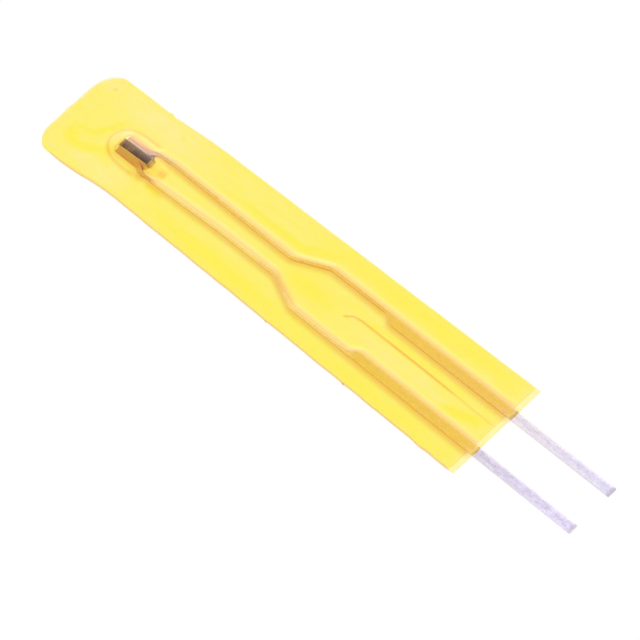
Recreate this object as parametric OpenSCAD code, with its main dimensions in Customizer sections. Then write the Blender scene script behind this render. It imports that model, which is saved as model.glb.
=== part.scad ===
// Thin film thermistor. A small ceramic chip sits between the ends of two flat leads,
// and a cover film is draped over them and bonded to a flat base film.
// X runs along the strip towards the chip, Y across it, Z up. The origin is at the centre
// of the bounding box, on the surface that the base film lies on.

/* [Film] */
// Length of the film from its cut end to the round-cornered head
film_len = 25; // [22:0.5:32]
// Width of the film along its straight run
film_w = 3.6; // [3.2:0.1:4.4]
// Thickness of one film with its bonding coat
film_t = 0.06; // [0.04:0.01:0.1]
// Radius of the left head corner
left_r = 0.8; // [0.4:0.05:1.4]
// Radius of the right head corner
right_r = 1.05; // [0.4:0.05:1.4]
// Length of cover film that runs past the base film at the cut end
cover_lap = 0.24; // [0.1:0.02:0.6]
// How far the left edge swings out near the head
swing_out = 0.2; // [0.05:0.01:0.3]
// Distance from the head back to where the left edge starts to swing out
swing_x = 4.8; // [4.4:0.1:6]
// Length over which the left edge swings out
swing_len = 3; // [2:0.1:3.4]
// How far the right edge steps in near the head
step_in = 0.1; // [0.02:0.01:0.25]
// Distance from the head back to where the right edge starts to step in
step_x = 7.5; // [6.5:0.1:9]
// Length over which the right edge steps in
step_len = 3.7; // [2:0.1:5]

/* [Leads] */
// Length of bare lead past the cut end of the film
bare_len = 4.85; // [3:0.05:8]
// Thickness of the lead strip
lead_t = 0.12; // [0.08:0.01:0.15]
// Width of the wide tail of each lead
tail_w = 0.33; // [0.24:0.01:0.45]
// Distance between the centre lines of the two tails at their tips
tail_pitch = 1.55; // [1.3:0.01:1.9]
// How far each lead leans outwards between its tip and its jog
splay = 0.02; // [0:0.01:0.05]
// Distance from the film's cut end to the start of the taper
taper_x = 6.45; // [5:0.05:8]
// Length of the taper
taper_len = 0.35; // [0.35:0.05:1]
// Width of the narrow run of each lead
run_w = 0.12; // [0.08:0.01:0.18]
// Distance from the film's cut end to the start of the jog
jog_x = 10; // [9.6:0.1:11]
// Length of the jog
jog_len = 1.65; // [1:0.05:2]
// Distance over the outer edges of the runs just past the jog
throat_w = 0.885; // [0.8:0.005:1.1]
// Length of parallel run past the jog, before the runs start to part
throat_len = 3; // [1:0.1:3.5]
// Distance over the outer edges of the runs at the neck before the chip
neck_w = 1.04; // [0.9:0.01:1.2]
// Length of the neck
neck_len = 0.6; // [0.5:0.05:1]
// Length of the step from the neck in to the pad
pad_step = 0.3; // [0.2:0.05:0.5]
// Width of each lead's pad beside the chip
pad_w = 0.23; // [0.15:0.01:0.26]
// How far the pads run past the chip
pad_over = 0.05; // [0.02:0.01:0.1]
// Rounding of the bends in the leads, measured along the strip
bend = 0.15; // [0.05:0.01:0.17]
// Offset of the tails' tips from the film's centre line
tail_off = 0.085; // [0:0.005:0.15]
// Offset of the narrow runs from the film's centre line
run_off = 0.055; // [0:0.005:0.15]

/* [Chip] */
// Length of film from the chip to the end of the head
head_gap = 3.49; // [2.6:0.01:5]
// Offset of the chip from the film's centre line
chip_off = 0.14; // [0:0.005:0.2]
// Length of the chip
chip_len = 1.77; // [1.2:0.01:2.2]
// Width of the ceramic between its two electrodes
chip_w = 0.27; // [0.2:0.01:0.4]
// Height of the chip
chip_t = 0.22; // [0.18:0.01:0.32]
// Thickness of each electrode on the chip's long sides
electrode_t = 0.03; // [0.01:0.01:0.05]
// Distance from the top of a solder fillet up to the chip's top
fillet_gap = 0.04; // [0.02:0.005:0.05]
// Width of bare pad left outside a solder fillet
fillet_margin = 0.07; // [0.04:0.01:0.1]

/* [Drape] */
// Width of the slope where the cover film comes down beside a lead
slope_run = 0.17; // [0.1:0.01:0.2]
// Width of the blister over the chip
blister_w = 1.4; // [1.3:0.02:1.8]
// Length of the blister's slope before and after the chip
blister_run = 0.8; // [0.6:0.02:1]
// Height of the crease between the tails
crease_h = 0.025; // [0.01:0.005:0.04]
// Distance from the film's cut end to where the crease starts
crease_x = 1.2; // [0.8:0.1:2]
// Length of the crease
crease_len = 6.9; // [4:0.1:7.5]
// Length over which the crease rises from the flat
crease_fade = 1.2; // [0.4:0.1:2]
// Length of the hook that ends the crease
hook_len = 0.3; // [0.1:0.05:0.6]

/* [Hidden] */

// Shapes are drawn with X = 0 at the film's cut end, then moved to the frame's origin
strip_shift = (bare_len - film_len) / 2;
film_y = -swing_out / 2;

// Half widths, measured from the centre line of the leads and the chip
tail_half = (tail_pitch + tail_w) / 2;
block_half = chip_w / 2 + electrode_t;
pad_half = block_half + pad_w;
blister_half = blister_w / 2;

// Places along the strip
throat_x = jog_x + jog_len;
part_x = throat_x + throat_len;
chip_end = film_len - head_gap;
chip_x = chip_end - chip_len;
neck_x = chip_x - neck_len;
pad_x = chip_x + pad_step;
lead_end = chip_end + pad_over;
blister_end = chip_end + blister_run;
crease_end = crease_x + crease_len;
corner_x = film_len - max(left_r, right_r);

// Outer edge of a lead, from the centre line of the pair
outer_line = [[-bare_len, tail_half], [jog_x, tail_half + splay], [throat_x, throat_w / 2],
              [part_x, throat_w / 2], [neck_x, neck_w / 2], [chip_x, neck_w / 2],
              [pad_x, pad_half], [lead_end, pad_half]];
// Width of a lead
width_line = [[taper_x, tail_w], [taper_x + taper_len, run_w], [neck_x, run_w],
              [chip_x, (run_w + pad_w) / 2], [pad_x, pad_w]];
// Centre line of the pair, from the film's centre line
centre_line = [[-bare_len, tail_off], [jog_x, run_off], [part_x, run_off],
               [neck_x, (run_off + chip_off) / 2], [chip_x - bend, chip_off]];

function blend(a, b, t) = a + (b - a) * t;
function share(x, from, len) = min(1, max(0, (x - from) / len));
function smooth(x, from, len) = let (t = share(x, from, len)) t * t * (3 - 2 * t);
// A line of straight stretches, its bends rounded by a running mean
function eased(x, line) = (lookup(x - bend, line) + lookup(x - bend / 2, line) + lookup(x, line)
                           + lookup(x + bend / 2, line) + lookup(x + bend, line)) / 5;

// Edges of the leads and of the film at a place along the strip
function mid(x) = film_y + eased(x, centre_line);
function outer(x) = eased(x, outer_line);
function inner(x) = outer(x) - eased(x, width_line);
function corner_cut(x, r) = r - sqrt(max(0, r ^ 2 - max(0, x - film_len + r) ^ 2));
function left_edge(x) = film_y + film_w / 2 - corner_cut(x, left_r)
    + swing_out * smooth(x, film_len - swing_x, swing_len);
function right_edge(x) = film_y - film_w / 2 + corner_cut(x, right_r)
    + step_in * smooth(x, film_len - step_x, step_len);

// Stations along the strip, closer together where a shape turns
function sorted(v) = len(v) < 2 ? v : let (p = v[floor(len(v) / 2)])
    concat(sorted([for (x = v) if (x < p - 0.002) x]), [p], sorted([for (x = v) if (x > p + 0.002) x]));
function steps(a, b, n) = [for (i = [0 : n - 1]) blend(a, b, i / n)];
lead_knees = [taper_x, taper_x + taper_len, jog_x, throat_x, part_x, neck_x, chip_x - bend,
              chip_x, pad_x];
stations = sorted(concat(
    [0, film_len, chip_end, lead_end, crease_x, crease_x + crease_fade, crease_end],
    [for (x = lead_knees, s = [-1 : 0.5 : 1]) x + s * bend],
    steps(crease_end - hook_len, crease_end, 3),
    steps(part_x, neck_x - bend, 4),
    steps(pad_x + bend, chip_end, 3),
    [for (a = [15 : 15 : 90]) blend(lead_end, blister_end, sin(a))],
    steps(blister_end, corner_x, 4),
    [for (r = [left_r, right_r], a = [0 : 15 : 75]) film_len - r + r * sin(a)]));
lead_stations = concat([-bare_len], [for (x = stations) if (x < lead_end) x], [lead_end]);
base_stations = concat([cover_lap], [for (x = stations) if (x > cover_lap + 0.01) x]);

// Half width of the draped band: slopes beside the leads, then the blister and its round end
function band(x) =
    x <= chip_x ? max(outer(x) + slope_run, blister_half * smooth(x, neck_x, neck_len))
    : let (far = share(x, chip_end, blister_run))
      blend(block_half, blister_half, max(0.1, sqrt(1 - far ^ 2)));

// Rise of the blister, stretched like a tent from the chip's top edges down to its rim
function blister(x, y) =
    let (along = max(0, chip_x - x, x - chip_end) / blister_run,
         across = max(0, abs(y) - block_half) / (blister_half - block_half))
    chip_t * max(0, 1 - norm([along, across]));

// One side of the draped band as offset and rise, from the spine out to the foot
function inner_fold(x) = x <= lead_end
    ? max(inner(x), blend(block_half, outer(x), 0.25))
    : blend(block_half, band(x), 0.12);
function outer_fold(x) = x <= lead_end
    ? outer(x)
    : blend(block_half, band(x), pad_w / (blister_half - block_half));
function inner_foot(x) = x <= chip_x
    ? max(inner(x) - slope_run, blend(block_half, inner(x), 0.1) * smooth(x, part_x, neck_x - part_x))
    : blend(block_half, inner_fold(x), 0.4);
function spine(x) = min(block_half, 0.9 * inner_foot(x));
function over_lead(x, y) = max(x <= lead_end ? lead_t : 0, blister(x, y));
function half_drape(x) = [
    [inner_foot(x), blister(x, inner_foot(x))],
    [inner_fold(x), over_lead(x, inner_fold(x))],
    [outer_fold(x), over_lead(x, outer_fold(x))],
    [band(x), 0]];

// The crease runs along the right spine and hooks in towards the middle at its end
function crease_y(x) = x > crease_end ? spine(x)
    : spine(x) * (1 - 0.8 * smooth(x, crease_end - hook_len, hook_len));
function crease_rise(x) = crease_h * smooth(x, crease_x, crease_fade)
    * (1 - smooth(x, crease_end - hook_len / 2, hook_len / 2));

// The cover film's section at a station, from the right edge to the left edge
function drape(x) = let (half = half_drape(x), y0 = mid(x), crown = blister(x, 0)) concat(
    [[right_edge(x), 0]],
    [for (i = [3 : -1 : 0]) [y0 - half[i][0], half[i][1]]],
    [[y0 - crease_y(x), crown + crease_rise(x)], [y0, crown + crease_rise(x) / 2],
     [y0 + spine(x), crown]],
    [for (p = half) [y0 + p[0], p[1]]],
    [[left_edge(x), 0]]);
// Past the blister the section spreads out evenly, so that it fits between the round corners
function section(x) =
    let (p = drape(x), n = len(p) - 1, t = share(x, blister_end, corner_x - blister_end))
    [for (i = [0 : n]) [blend(p[i][0], blend(right_edge(x), left_edge(x), i / n), t), p[i][1]]];

module place() {
    translate([strip_shift, 0, 0]) children();
}

module cover_film() {
    rows = [for (x = stations) section(x)];
    m = len(stations) - 1;
    n = len(rows[0]) - 1;
    points = [for (i = [0 : m], j = [0 : n], t = [1, 2])
              [stations[i], rows[i][j][0], rows[i][j][1] + t * film_t]];
    // Number of the point at a station and a column, on the under side or on top
    under = function (i, j) (i * (n + 1) + j) * 2;
    top = function (i, j) under(i, j) + 1;
    quads = concat(
        [for (i = [0 : m - 1], j = [0 : n - 1])
         [top(i, j), top(i, j + 1), top(i + 1, j + 1), top(i + 1, j)]],
        [for (i = [0 : m - 1], j = [0 : n - 1])
         [under(i, j), under(i + 1, j), under(i + 1, j + 1), under(i, j + 1)]],
        [for (i = [0 : m - 1]) [under(i, 0), top(i, 0), top(i + 1, 0), under(i + 1, 0)]],
        [for (i = [0 : m - 1]) [under(i + 1, n), top(i + 1, n), top(i, n), under(i, n)]],
        [for (j = [0 : n - 1]) [under(0, j + 1), top(0, j + 1), top(0, j), under(0, j)]],
        [for (j = [0 : n - 1]) [under(m, j), top(m, j), top(m, j + 1), under(m, j + 1)]]);
    faces = [for (q = quads, t = [[0, 1, 2], [0, 2, 3]]) [for (k = t) q[k]]];
    color("gold", 0.6) place() polyhedron(points, faces);
}

module base_film() {
    color("khaki", 0.6) place() linear_extrude(film_t) polygon(concat(
        [for (x = base_stations) [x, right_edge(x)]],
        [for (i = [len(base_stations) - 1 : -1 : 0]) [base_stations[i], left_edge(base_stations[i])]]));
}

// One flat lead: side is 1 for the left lead and -1 for the right lead
module lead(side) {
    color("lavender") place() translate([0, 0, film_t]) linear_extrude(lead_t) polygon(concat(
        [for (x = lead_stations) [x, mid(x) + side * outer(x)]],
        [for (i = [len(lead_stations) - 1 : -1 : 0]) let (x = lead_stations[i])
         [x, mid(x) + side * inner(x)]]));
}

module lead_left() {
    lead(1);
}

module lead_right() {
    lead(-1);
}

// Moves a piece to the chip's near end, on the base film and on the chip's centre line
module at_chip() {
    place() translate([chip_x, film_y + chip_off, film_t]) children();
}

module thermistor_chip() {
    color("#4a3b36") at_chip() translate([0, -chip_w / 2, 0]) cube([chip_len, chip_w, chip_t]);
}

module electrode(side) {
    color("silver") at_chip() translate([0, side * (chip_w + electrode_t) / 2 - electrode_t / 2, 0])
        cube([chip_len, electrode_t, chip_t]);
}

module electrode_left() {
    electrode(1);
}

module electrode_right() {
    electrode(-1);
}

// Hollow fillet on top of a lead's pad, up against the electrode
module solder(side) {
    from = pad_x + bend - chip_x;
    fillet_w = pad_w - fillet_margin;
    fillet_h = chip_t - lead_t - fillet_gap;
    color("darkgray") at_chip() mirror([0, side < 0 ? 1 : 0, 0])
        translate([from, block_half, lead_t]) rotate([90, 0, 90]) linear_extrude(chip_len - from)
        polygon(concat([[0, 0]],
            [for (a = [0 : 15 : 90]) [fillet_w * (1 - sin(a)), fillet_h * (1 - cos(a))]]));
}

module solder_left() {
    solder(1);
}

module solder_right() {
    solder(-1);
}

cover_film();
base_film();
lead_left();
lead_right();
thermistor_chip();
electrode_left();
electrode_right();
solder_left();
solder_right();
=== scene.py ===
"""Thin film thermistor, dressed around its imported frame.

A small ceramic chip sits between the ends of two flat tinned leads. An amber polyimide film is
draped over them and bonded to a flat film of the same kind. Sizes in this file are millimetres,
with x = 0 at the film's cut end, and every mesh is written in metres in the frame's own place.
"""

import logging
import math
from dataclasses import dataclass
from enum import Enum
from typing import Any, Sequence

import bpy
import numpy as np
from mathutils import Matrix, Vector


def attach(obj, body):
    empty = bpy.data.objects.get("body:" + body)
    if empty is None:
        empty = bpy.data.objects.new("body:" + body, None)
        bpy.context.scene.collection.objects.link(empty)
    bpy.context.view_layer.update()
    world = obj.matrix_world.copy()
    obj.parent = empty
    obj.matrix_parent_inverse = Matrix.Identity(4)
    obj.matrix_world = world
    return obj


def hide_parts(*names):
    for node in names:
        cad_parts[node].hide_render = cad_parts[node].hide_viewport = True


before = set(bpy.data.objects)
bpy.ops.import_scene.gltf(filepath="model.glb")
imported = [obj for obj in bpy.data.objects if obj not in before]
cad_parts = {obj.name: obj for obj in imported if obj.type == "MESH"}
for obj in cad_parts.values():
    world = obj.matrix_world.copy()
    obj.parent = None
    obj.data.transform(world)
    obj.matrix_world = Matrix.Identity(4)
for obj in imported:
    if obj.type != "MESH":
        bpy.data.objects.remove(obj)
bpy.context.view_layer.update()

MM = 0.001
log = logging.getLogger("thermistor")

Array = np.ndarray
Faces = list[tuple[int, ...]]
Pair = tuple[float, float]
Line = Sequence[Pair]
Three = tuple[float, float, float]


class Side(Enum):
    """Which lead or electrode, seen along the strip from the bare leads towards the chip."""

    LEFT = 1
    RIGHT = -1

    @property
    def word(self) -> str:
        """The side's name as the frame's nodes spell it."""
        return self.name.lower()

    def pick(self, left: Any, right: Any) -> Any:
        """The one of two values that belongs to this side."""
        return left if self is Side.LEFT else right


class Face(Enum):
    """Which surface of a film a face belongs to, as its material slot's number."""

    OUTER = 0
    BONDED = 1
    EDGE_GLOW = 2
    SHEARED = 3


def linear(hex_code: str) -> tuple[float, float, float, float]:
    """Turns an sRGB hex colour into the opaque linear colour that shaders take.

    Args:
        hex_code: six hex digits.

    Returns:
        Linear red, green, blue and alpha.
    """
    parts = [int(hex_code[i:i + 2], 16) / 255 for i in (0, 2, 4)]
    red, green, blue = (
        p / 12.92 if p <= 0.04045 else ((p + 0.055) / 1.055) ** 2.4 for p in parts
    )
    return red, green, blue, 1.0


def add(tree: bpy.types.NodeTree, kind: str, inputs: dict[str | int, Any] | None = None,
        **settings: Any) -> bpy.types.Node:
    """Adds a node with its settings and links.

    Args:
        tree: the node tree that gets the node.
        kind: the node's type name after the word ShaderNode.
        inputs: what goes into its inputs, by name or number. A socket is linked, a node is linked
            by its first output, and any other value is set.
        **settings: the node's own properties.

    Returns:
        The new node.
    """
    made = tree.nodes.new("ShaderNode" + kind)
    for name, value in settings.items():
        setattr(made, name, value)
    for name, value in (inputs or {}).items():
        if isinstance(value, bpy.types.Node):
            value = value.outputs[0]
        if isinstance(value, bpy.types.NodeSocket):
            tree.links.new(value, made.inputs[name])
        else:
            made.inputs[name].default_value = value
    return made


def new_material(name: str) -> tuple[bpy.types.Material, bpy.types.NodeTree]:
    """Makes an empty node material.

    Args:
        name: the material's name.

    Returns:
        The material and its node tree, which holds no nodes.
    """
    material = bpy.data.materials.new(name)
    material.use_nodes = True
    material.node_tree.nodes.clear()
    return material, material.node_tree


def mottling(tree: bpy.types.NodeTree, long_mm: float, wide_mm: float, detail: float,
             roughness: float = 0.5) -> bpy.types.Node:
    """Lays a mottled pattern of a real size on the part, drawn out along the strip.

    Args:
        tree: the material's node tree.
        long_mm: how long its patches are.
        wide_mm: how wide they are.
        detail: how many finer layers it has.
        roughness: how strong the finer layers are.

    Returns:
        The node whose first output is the pattern, from 0 to 1.
    """
    place = add(tree, "TexCoord").outputs["Object"]
    long, wide = 1 / (long_mm * MM), 1 / (wide_mm * MM)
    drawn = add(tree, "VectorMath", {0: place, 1: (long, wide, wide)}, operation="MULTIPLY")
    return add(tree, "TexNoise", {
        "Vector": drawn, "Scale": 1.0, "Detail": detail, "Roughness": roughness})


def dented_surface(tree: bpy.types.NodeTree, colour: Any, pattern: bpy.types.Node,
                   depth_mm: float, strength: float, inputs: dict[str, float]) -> None:
    """Ends a material with an opaque surface that a pattern dents a little.

    Args:
        tree: the material's node tree.
        colour: the node or socket that gives its colour.
        pattern: the node that gives the dents.
        depth_mm: how deep they are.
        strength: how much of that depth the shading shows.
        inputs: the surface's other inputs, by name.
    """
    dents = add(tree, "Bump", {"Strength": strength, "Distance": depth_mm * MM, "Height": pattern})
    surface = add(tree, "BsdfPrincipled", {"Base Color": colour, "Normal": dents, **inputs})
    add(tree, "OutputMaterial", {"Surface": surface})


def ease(x: Array, start: float, length: float, high: float = 1.0) -> Array:
    """Rises smoothly from 0 at start to high at start plus length."""
    t = np.clip((x - start) / length, 0.0, 1.0)
    return high * (t * t * (3 - 2 * t))


def bump(x: Array, place: float, width: float, high: float = 1.0) -> Array:
    """A rounded bump at a place, about twice its width wide."""
    return high * np.exp(-(((x - place) / width) ** 2))


def corner_cut(past: Array, radius: float) -> Array:
    """How far a round corner draws the edge in, past being the distance from the head's end."""
    return radius - np.sqrt(np.maximum(0.0, radius ** 2 - np.maximum(0.0, past + radius) ** 2))


def thinned(places: list[float], least: float, end: float) -> Array:
    """Sorts places along the strip and drops those that crowd the one before.

    Args:
        places: the places, in any order.
        least: the smallest step between two of them.
        end: the last place, which always stays.

    Returns:
        The places that are kept, in order.
    """
    kept: list[float] = []
    for place in sorted(places):
        if not kept or place - kept[-1] > least:
            kept.append(place)
    kept[-1] = end
    return np.array(kept)


def make_piece(name: str, node: str, points: Array, faces: Faces,
               materials: Sequence[bpy.types.Material], values: dict[str, Array],
               sharp: float = 60.0, slots: Sequence[int] | None = None) -> bpy.types.Object:
    """Makes a smooth-shaded mesh object that rides on the root body.

    Args:
        name: the piece's name.
        node: the frame's node that it stands for.
        points: its corners in millimetres, in the frame.
        faces: its faces as corner numbers.
        materials: its materials, in slot order.
        values: named numbers, one for each corner, that the materials read.
        sharp: the angle in degrees above which an edge is left sharp.
        slots: the number of each face's material, where it has several.

    Returns:
        The new object.
    """
    mesh = bpy.data.meshes.new(name)
    mesh.from_pydata((points * MM).tolist(), [], faces)
    for material in materials:
        mesh.materials.append(material)
    if slots is not None:
        mesh.polygons.foreach_set("material_index", list(slots))
    for key, numbers in values.items():
        kind, field = ("FLOAT_COLOR", "color") if numbers.ndim == 2 else ("FLOAT", "value")
        mesh.attributes.new(key, kind, "POINT").data.foreach_set(
            field, np.asarray(numbers, np.float32).ravel())
    mesh.polygons.foreach_set("use_smooth", [True] * len(mesh.polygons))
    mesh.set_sharp_from_angle(angle=math.radians(sharp))
    mesh.update()
    piece = bpy.data.objects.new(name, mesh)
    bpy.context.scene.collection.objects.link(piece)
    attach(piece, "root")
    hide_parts(node)
    return piece


def sweep(rings: Array) -> tuple[Array, Faces]:
    """Joins closed rings of points into one closed skin.

    Args:
        rings: stations by points in a ring by x, y, z. The rings run anticlockwise seen against x.

    Returns:
        The points, and the faces with both end caps.
    """
    stations, around, _ = rings.shape
    faces = []
    for i in range(stations - 1):
        for j in range(around):
            k = (j + 1) % around
            a, b = i * around, (i + 1) * around
            faces.append((a + j, b + j, b + k, a + k))
    faces.append(tuple(range(around)))
    faces.append(tuple(range(stations * around - 1, (stations - 1) * around - 1, -1)))
    return rings.reshape(-1, 3), faces


def grid_faces(rows: int, columns: int) -> tuple[Faces, Faces]:
    """Quads of an upper grid of points and of the same grid below it.

    Args:
        rows: the number of rows of points.
        columns: the number of points in a row.

    Returns:
        The quads of both grids, and the quads that close the rim between them.
    """
    size = rows * columns
    upper = [(a, a + columns, a + columns + 1, a + 1) for i in range(rows - 1)
             for a in range(i * columns, (i + 1) * columns - 1)]
    lower = [tuple(corner + size for corner in quad[::-1]) for quad in upper]
    walls = []
    for a in range(0, size - columns, columns):
        b, c = a + columns, a + columns - 1
        d = c + columns
        walls += [(a, a + size, b + size, b), (c, d, d + size, c + size)]
    last = size - columns
    for j in range(columns - 1):
        k = last + j
        walls += [(j, j + 1, j + 1 + size, j + size), (k, k + size, k + 1 + size, k + 1)]
    return upper + lower, walls


@dataclass
class Strip:
    """The strip's lines, as lengths in millimetres and places along x from the film's cut end.

    The lines are the frame's, apart from a few lengths that were matched more closely to the
    photograph afterwards.
    """

    film_len: float = 25.0
    film_w: float = 3.6
    film_t: float = 0.06
    left_r: float = 0.74
    right_r: float = 1.05
    cover_lap: float = 0.29
    slit_in: float = 0.012
    swing_out: float = 0.2
    swing_x: float = 4.8
    swing_len: float = 3.0
    step_in: float = 0.1
    step_x: float = 7.5
    step_len: float = 3.7
    # Burrs and nicks of the slit edges: place, width, and how far out they stand
    left_burrs: tuple[Three, ...] = ((10.4, 0.06, 0.022), (5.95, 0.05, 0.03), (1.85, 0.3, 0.028),
                                     (0.7, 0.5, 0.015))
    right_burrs: tuple[Three, ...] = ((21.05, 0.09, 0.03), (20.75, 0.16, -0.025))
    # Slow waves of the slit edges: height, radians per millimetre and start
    left_waves: tuple[Three, ...] = ((0.004, 1.9, 0.0), (0.003, 4.3, 1.0))
    right_waves: tuple[Three, ...] = ((0.003, 1.3, 2.0), (0.002, 3.7, 0.0))
    wave_start: Pair = (0.3, 1.0)
    calm_run: float = 0.6
    head_out: float = 0.055
    head_run: float = 0.9
    head_bump: Three = (0.3, 0.14, 0.045)
    bare_len: float = 4.85
    lead_t: float = 0.12
    tail_w: float = 0.33
    tail_pitch: float = 1.55
    splay: float = 0.02
    taper_x: float = 6.45
    taper_len: float = 0.35
    run_w: float = 0.12
    jog_x: float = 10.0
    jog_len: float = 1.65
    throat_w: float = 0.885
    throat_len: float = 3.0
    neck_w: float = 1.04
    neck_len: float = 0.6
    pad_step: float = 0.3
    pad_w: float = 0.23
    pad_over: float = 0.01
    pad_late: float = 0.18
    pad_swell: float = 0.045
    # Where the right lead's inner edge and the left lead's outer edge draw in near the chip:
    # place behind the chip's near end, width and depth
    right_slim: Three = (0.06, 0.32, 0.055)
    left_waist: Three = (-0.32, 0.2, 0.03)
    bend: float = 0.15
    tail_off: float = 0.085
    run_off: float = 0.055
    head_gap: float = 3.45
    chip_off: float = 0.14
    chip_len: float = 1.81
    chip_w: float = 0.27
    chip_t: float = 0.22
    electrode_t: float = 0.03
    blister_run: float = 0.76
    rim_x: float = 20.6
    rim_y: float = 0.045
    rim_far: float = 1.775
    rim_near: float = 1.66
    rim_half: float = 0.67
    rim_power: float = 2.9
    rim_least: float = 0.4
    shoulder: float = 0.13
    drape_run: float = 0.27
    crease_line: Line = ((0.2, -0.185), (2.0, -0.21), (4.0, -0.23), (7.4, -0.235), (7.8, -0.19),
                         (7.9, -0.14), (8.0, -0.07), (8.18, 0.0))

    def __post_init__(self) -> None:
        """Works out the places and edge lines that the pieces share."""
        self.shift = (self.bare_len - self.film_len) / 2
        self.film_y = -self.swing_out / 2
        self.block_half = self.chip_w / 2 + self.electrode_t
        self.throat_x = self.jog_x + self.jog_len
        self.part_x = self.throat_x + self.throat_len
        self.chip_end = self.film_len - self.head_gap
        self.chip_x = self.chip_end - self.chip_len
        self.neck_x = self.chip_x - self.neck_len
        self.pad_x = self.chip_x + self.pad_step
        self.lead_end = self.chip_end + self.pad_over
        self.blister_end = self.chip_end + self.blister_run
        self.corner_x = self.film_len - max(self.left_r, self.right_r)
        tail_half = (self.tail_pitch + self.tail_w) / 2
        throat, neck, pad = self.throat_w / 2, self.neck_w / 2, self.block_half + self.pad_w
        self.outer_line = (
            (-self.bare_len, tail_half), (self.jog_x, tail_half + self.splay),
            (self.throat_x, throat), (self.part_x, throat), (self.neck_x, neck),
            (self.chip_x + self.pad_late, neck), (self.pad_x + self.pad_late, pad),
            (self.lead_end, pad))
        self.width_line = (
            (self.taper_x, self.tail_w), (self.taper_x + self.taper_len, self.run_w),
            (self.neck_x, self.run_w), (self.chip_x, self.run_w + self.pad_swell),
            (self.pad_x, self.pad_w))
        self.centre_line = (
            (-self.bare_len, self.tail_off), (self.jog_x, self.run_off),
            (self.part_x, self.run_off), (self.neck_x, (self.run_off + self.chip_off) / 2),
            (self.chip_x - self.bend, self.chip_off))

    def eased(self, x: Array, line: Line) -> Array:
        """Reads a line of straight stretches with its bends rounded by a running mean."""
        xs, ys = zip(*line)
        return sum(np.interp(x + k * self.bend / 2, xs, ys) for k in range(-2, 3)) / 5

    def mid(self, x: Array) -> Array:
        """Y of the centre line between the leads."""
        return self.film_y + self.eased(x, self.centre_line)

    def outer(self, x: Array) -> Array:
        """Distance from the centre line to a lead's outer edge."""
        return self.eased(x, self.outer_line)

    def inner(self, x: Array) -> Array:
        """Distance from the centre line to a lead's inner edge."""
        return self.outer(x) - self.eased(x, self.width_line)

    def slim(self, x: Array) -> Array:
        """How much narrower the right lead is than the left where it turns to its pad."""
        behind, *size = self.right_slim
        return bump(x, self.chip_x + behind, *size)

    def waist(self, x: Array) -> Array:
        """How much less far out the left lead's edge is than the right lead's at its neck."""
        behind, *size = self.left_waist
        return bump(x, self.chip_x + behind, *size)

    def knife(self, x: Array, burrs: tuple[Three, ...], waves: tuple[Three, ...]) -> Array:
        """How far out the knife wandered along an edge, up to where the corner was punched.

        Args:
            x: places along the strip.
            burrs: the edge's burrs and nicks.
            waves: the edge's slow waves.

        Returns:
            The distances in millimetres.
        """
        ripple = sum(high * np.sin(x * turn + start) for high, turn, start in waves)
        rough = sum(bump(x, *burr) for burr in burrs) + ripple * ease(x, *self.wave_start)
        return rough * (1 - ease(x, self.corner_x - self.calm_run, self.calm_run))

    def left_edge(self, x: Array) -> Array:
        """Y of the film's left edge."""
        return (self.film_y + self.film_w / 2 - self.slit_in
                - corner_cut(x - self.film_len, self.left_r)
                + ease(x, self.film_len - self.swing_x, self.swing_len, self.swing_out)
                + self.knife(x, self.left_burrs, self.left_waves))

    def right_edge(self, x: Array) -> Array:
        """Y of the film's right edge."""
        return (self.film_y - self.film_w / 2 + corner_cut(x - self.film_len, self.right_r)
                + ease(x, self.film_len - self.step_x, self.step_len, self.step_in)
                - self.knife(x, self.right_burrs, self.right_waves))

    def head(self, x: Array, y: Array) -> Array:
        """How far the head's end bulges out, with the small bump that the punch left in it."""
        out = self.head_out + bump(y, *self.head_bump)
        return out * ease(x, self.film_len - self.head_run, self.head_run)

    def rim(self, x: Array, y: Array) -> Array:
        """Distance to the blister's oval rim, negative inside it.

        Args:
            x: places along the strip.
            y: places across it, in the frame.

        Returns:
            The distances in millimetres.
        """
        far = np.where(x > self.rim_x, self.rim_far, self.rim_near)
        u, v = np.abs(x - self.rim_x) / far, (y - self.rim_y) / self.rim_half
        oval = u ** self.rim_power + v ** 2
        steep = np.hypot(self.rim_power * u ** (self.rim_power - 1) / far, 2 * v / self.rim_half)
        return (oval - 1) / np.maximum(steep, self.rim_least)

    def off_chip(self, x: Array, y: Array) -> Array:
        """Distance from the chip with its electrodes, seen from above."""
        across = y - self.film_y - self.chip_off
        return np.hypot(np.maximum(0.0, np.maximum(self.chip_x - x, x - self.chip_end)),
                        np.maximum(0.0, np.abs(across) - self.block_half))

    def blister(self, x: Array, y: Array) -> Array:
        """How far up the blister a point is, from 0 at its rim to 1 over the chip."""
        inside = np.maximum(0.0, -self.rim(x, y))
        return inside / np.maximum(inside + self.off_chip(x, y), 1e-6)

    def beside(self, x: Array, y: Array) -> Array:
        """Distance to the nearest lead's edge, negative over the metal.

        Args:
            x: places along the strip.
            y: places across it, in the frame.

        Returns:
            The distances in millimetres.
        """
        inner, outer, off = self.inner(x), self.outer(x), y - self.mid(x)
        near = np.minimum(np.maximum(inner - off, off - outer + self.waist(x)),
                          np.maximum(inner + self.slim(x) + off, -off - outer))
        past_end = np.maximum(0.0, x - self.lead_end)
        return np.hypot(np.maximum(near, 0.0), past_end) + np.minimum(near, 0.0)

    def crease(self, x: Array, y: Array) -> Array:
        """Distance to the crease between the tails.

        Args:
            x: places along the strip.
            y: places across it, in the frame.

        Returns:
            The distances in millimetres, negative to the right of it.
        """
        xs, ys = zip(*self.crease_line)
        lean = (np.interp(x + 0.02, xs, ys) - np.interp(x - 0.02, xs, ys)) / 0.04
        return (y - np.interp(x, xs, ys)) / np.hypot(1.0, lean)

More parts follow.
